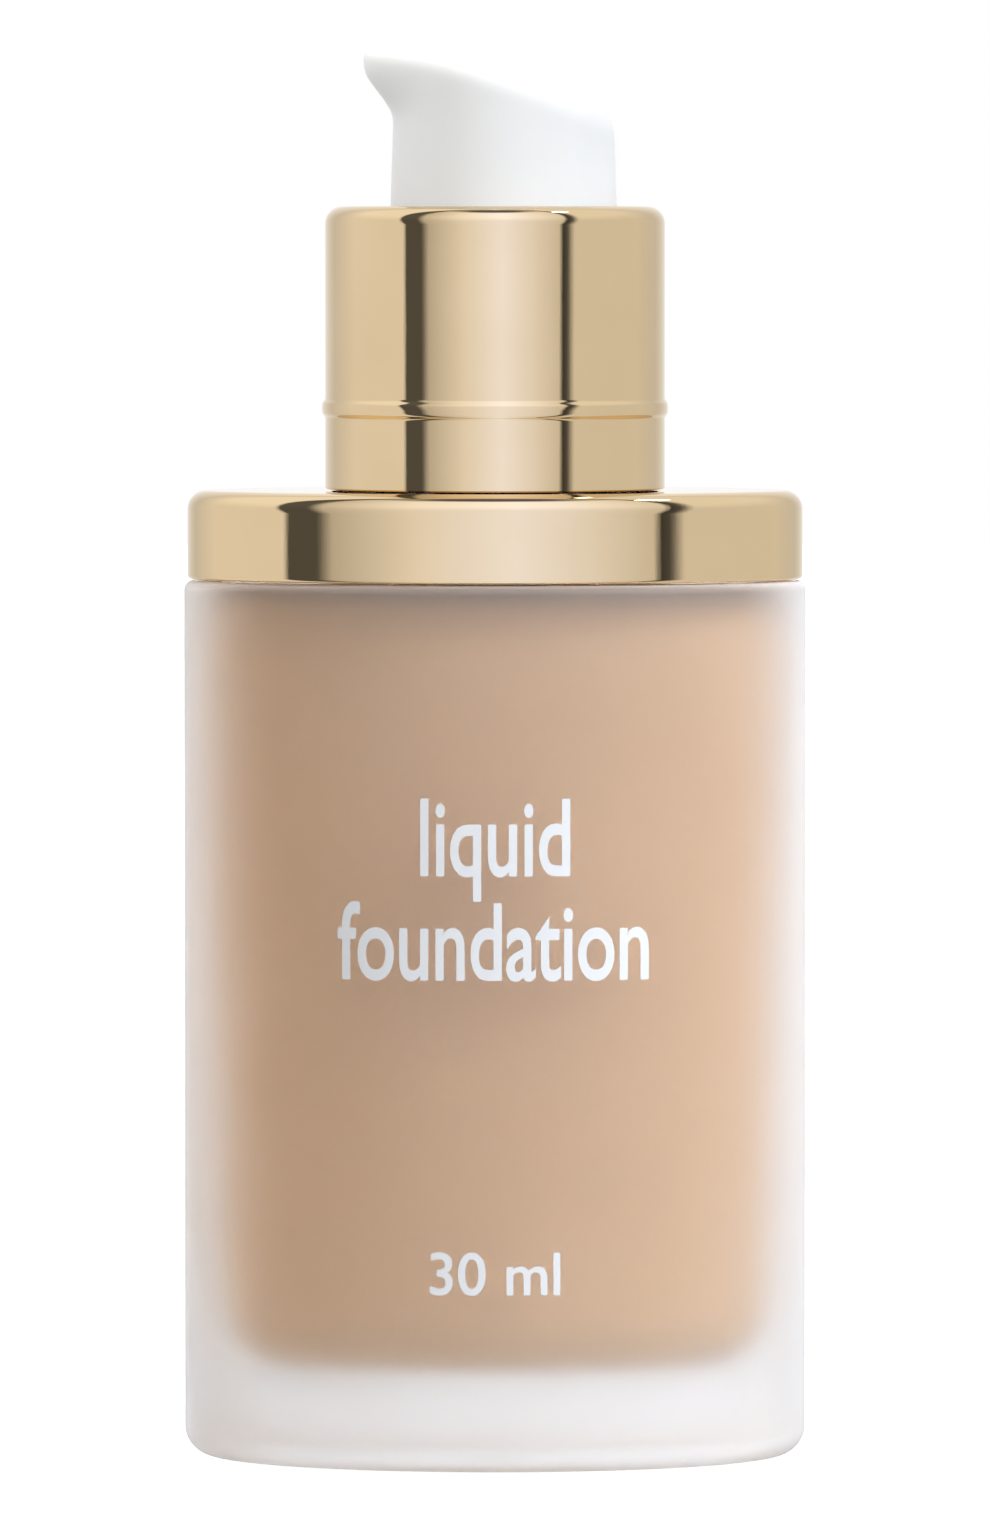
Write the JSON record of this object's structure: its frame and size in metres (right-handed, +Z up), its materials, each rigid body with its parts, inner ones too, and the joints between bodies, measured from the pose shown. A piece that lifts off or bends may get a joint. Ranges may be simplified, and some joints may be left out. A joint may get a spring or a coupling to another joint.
{
  "type": "foundation bottle",
  "caption": "Oval frosted-glass foundation bottle with a gilt shoulder plate, a gilt screw collar and a white treatment-pump head with a short spout.",
  "frame": {"origin": "centre of the base, on the surface the bottle stands on", "axes": "+Z up along the pump's axis; the spout points along -X at rest; the wide front face looks along -Y; +X is the bottle's long side"},
  "size_m": [0.046, 0.0308, 0.1039],
  "materials": {
    "frosted_glass": "acid-frosted outside, clear inside",
    "fluid": "smooth opaque beige fluid",
    "gilt": "bright anodised, pale gold",
    "white_plastic": "satin moulded polypropylene",
    "clear_plastic": "natural moulded polypropylene",
    "tube": "natural polyethylene",
    "gasket": "foamed polyethylene",
    "steel": "bright stainless"
  },
  "bodies": {
    "bottle": {"glass_bottle": "frosted_glass", "foundation_fluid": "fluid", "shoulder_plate": "gilt", "plate_insert": "clear_plastic"},
    "pump": {"pump_housing": "clear_plastic", "retaining_cap": "clear_plastic", "spring_seat": "clear_plastic", "return_spring": "steel", "dip_tube": "tube", "neck_gasket": "gasket"},
    "collar": {"collar_shell": "gilt", "screw_collar": "white_plastic"},
    "stem": {"pump_stem": "clear_plastic", "valve_pin": "clear_plastic"},
    "piston": {"piston": "tube"},
    "ball": {"inlet_ball": "steel"},
    "head": {"actuator_head": "white_plastic"}
  },
  "joints": [
    {"name": "pump_lift", "type": "slide", "parent": "bottle", "child": "pump", "axis": [0, 0, 1], "range_m": [0, 0.00398]},
    {"name": "collar_turn", "type": "hinge", "parent": "pump", "child": "collar", "pos_m": [0, 0, 0.0817], "axis": [0, 0, 1], "range_deg": [0, 450]},
    {"name": "stem_press", "type": "slide", "parent": "pump", "child": "stem", "axis": [0, 0, -1], "range_m": [0, 0.0045], "stiffness_N_per_m": 800, "springref_m": -0.004, "deforming": ["return_spring"]},
    {"name": "piston_slide", "type": "slide", "parent": "pump", "child": "piston", "axis": [0, 0, -1], "range_m": [0, 0.0039]},
    {"name": "head_swivel", "type": "hinge", "parent": "stem", "child": "head", "pos_m": [0, 0, 0.09], "axis": [0, 0, 1], "continuous": true},
    {"name": "ball_lift", "type": "slide", "parent": "pump", "child": "ball", "axis": [0, 0, 1], "range_m": [0, 0.0009]}
  ],
  "couplings": [
    {"joint": "pump_lift", "follows": "collar_turn", "m_per_rad": 0.00050611},
    {"joint": "piston_slide", "follows": "stem_press", "ratio": 0.8666}
  ]
}
